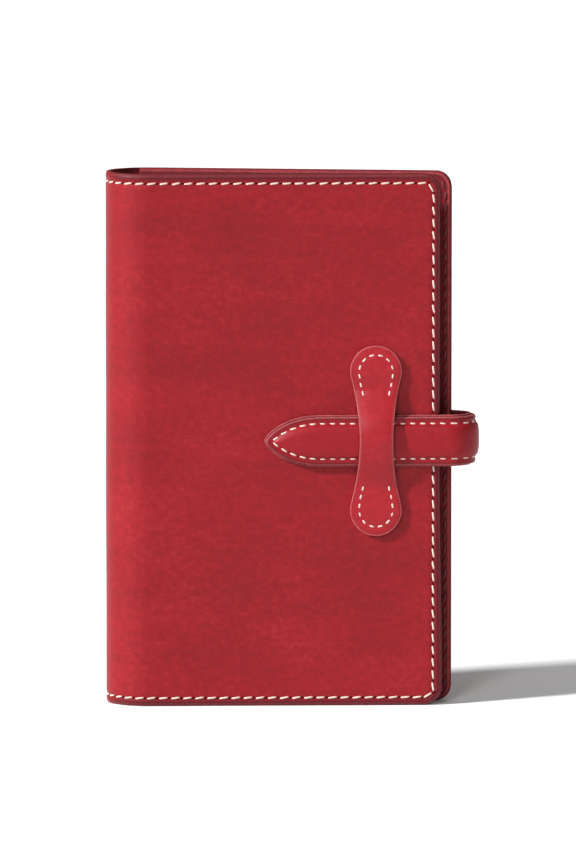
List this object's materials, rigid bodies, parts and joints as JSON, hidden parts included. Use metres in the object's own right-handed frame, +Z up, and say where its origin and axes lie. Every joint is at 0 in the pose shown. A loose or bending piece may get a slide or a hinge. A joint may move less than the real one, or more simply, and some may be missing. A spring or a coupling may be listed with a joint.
{
  "type": "pocket notebook",
  "caption": "Pocket notebook in a stitched leather wrap-around case, closed by a padded strap whose tongue slides under a sewn keeper.",
  "frame": {"origin": "middle of the footprint, on the surface the closed case stands on", "axes": "+X from the spine towards the fore-edge, +Y from the front cover towards the back cover, +Z up along the spine"},
  "size_m": [0.1162, 0.0276, 0.166],
  "materials": {
    "cover_leather": "satin",
    "strap_leather": "satin",
    "lining_leather": "matte",
    "cream_thread": "satin",
    "felt_padding": "matte",
    "book_card": "matte",
    "spine_cloth": "matte",
    "flyleaf_paper": "matte",
    "page_paper": "matte"
  },
  "bodies": {
    "spine": {"spine_leather": "cover_leather", "spine_stitching": "cream_thread", "book_spine_strip": "book_card", "book_front_hinge": "book_card", "book_back_hinge": "book_card", "spine_cloth": "spine_cloth", "sewing_thread": "cream_thread"},
    "front_cover": {"front_cover_leather": "cover_leather", "front_pocket": "lining_leather", "front_cover_stitching": "cream_thread", "keeper": "strap_leather", "keeper_upper_stitching": "cream_thread", "keeper_lower_stitching": "cream_thread", "book_front_board": "book_card"},
    "back_cover": {"back_cover_leather": "cover_leather", "back_pocket": "lining_leather", "back_cover_stitching": "cream_thread", "strap_anchor": "strap_leather", "strap_anchor_stitching": "cream_thread", "book_back_board": "book_card"},
    "front_pages": {"page_section_1": "page_paper", "page_section_2": "page_paper", "page_section_3": "page_paper", "front_flyleaf": "flyleaf_paper"},
    "back_pages": {"page_section_4": "page_paper", "page_section_5": "page_paper", "page_section_6": "page_paper", "back_flyleaf": "flyleaf_paper"},
    "strap_turn_a": {"strap_bend_1": "strap_leather", "strap_bend_1_stitching": "cream_thread"},
    "strap_turn_b": {"strap_bend_2": "strap_leather", "strap_bend_2_stitching": "cream_thread"},
    "strap_turn_c": {"strap_bend_3": "strap_leather", "strap_bend_3_stitching": "cream_thread"},
    "tongue": {"strap_tongue_face": "strap_leather", "strap_tongue_padding": "felt_padding", "strap_tongue_lining": "lining_leather", "strap_tongue_stitching": "cream_thread"}
  },
  "joints": [
    {"name": "front_cover_open", "type": "hinge", "parent": "spine", "child": "front_cover", "pos_m": [-0.05379, -0.00996, 0.083], "axis": [0, 0, -1], "range_deg": [0, 90], "deforming": ["book_front_hinge"]},
    {"name": "back_cover_open", "type": "hinge", "parent": "spine", "child": "back_cover", "pos_m": [-0.05379, 0.00996, 0.083], "axis": [0, 0, 1], "range_deg": [0, 90], "deforming": ["book_back_hinge"]},
    {"name": "front_pages_turn", "type": "hinge", "parent": "spine", "child": "front_pages", "pos_m": [-0.04789, -0.0045, 0.083], "axis": [0, 0, -1], "range_deg": [0, 77]},
    {"name": "back_pages_turn", "type": "hinge", "parent": "spine", "child": "back_pages", "pos_m": [-0.04789, 0.0045, 0.083], "axis": [0, 0, 1], "range_deg": [0, 77]},
    {"name": "strap_open", "type": "hinge", "parent": "back_cover", "child": "strap_turn_a", "pos_m": [0.04895, 0.00964, 0.083], "axis": [0, 0, 1], "range_deg": [0, 28.55], "deforming": ["strap_bend_1", "strap_bend_1_stitching", "strap_bend_2", "strap_bend_2_stitching", "strap_bend_3", "strap_bend_3_stitching", "strap_tongue_face", "strap_tongue_padding", "strap_tongue_lining", "strap_tongue_stitching"]},
    {"name": "strap_unbend_b", "type": "hinge", "parent": "strap_turn_a", "child": "strap_turn_b", "pos_m": [0.05671, 0.00462, 0.083], "axis": [0, 0, 1], "range_deg": [0, 57.1]},
    {"name": "strap_unbend_c", "type": "hinge", "parent": "strap_turn_b", "child": "strap_turn_c", "pos_m": [0.05671, -0.00462, 0.083], "axis": [0, 0, 1], "range_deg": [0, 57.1]},
    {"name": "tongue_unbend", "type": "hinge", "parent": "strap_turn_c", "child": "tongue", "pos_m": [0.04895, -0.00964, 0.083], "axis": [0, 0, 1], "range_deg": [0, 28.55]}
  ],
  "couplings": [
    {"joint": "front_pages_turn", "follows": "front_cover_open", "ratio": 0.85},
    {"joint": "back_pages_turn", "follows": "back_cover_open", "ratio": 0.85},
    {"joint": "strap_unbend_b", "follows": "strap_open", "ratio": 2},
    {"joint": "strap_unbend_c", "follows": "strap_open", "ratio": 2},
    {"joint": "tongue_unbend", "follows": "strap_open", "ratio": 1}
  ]
}
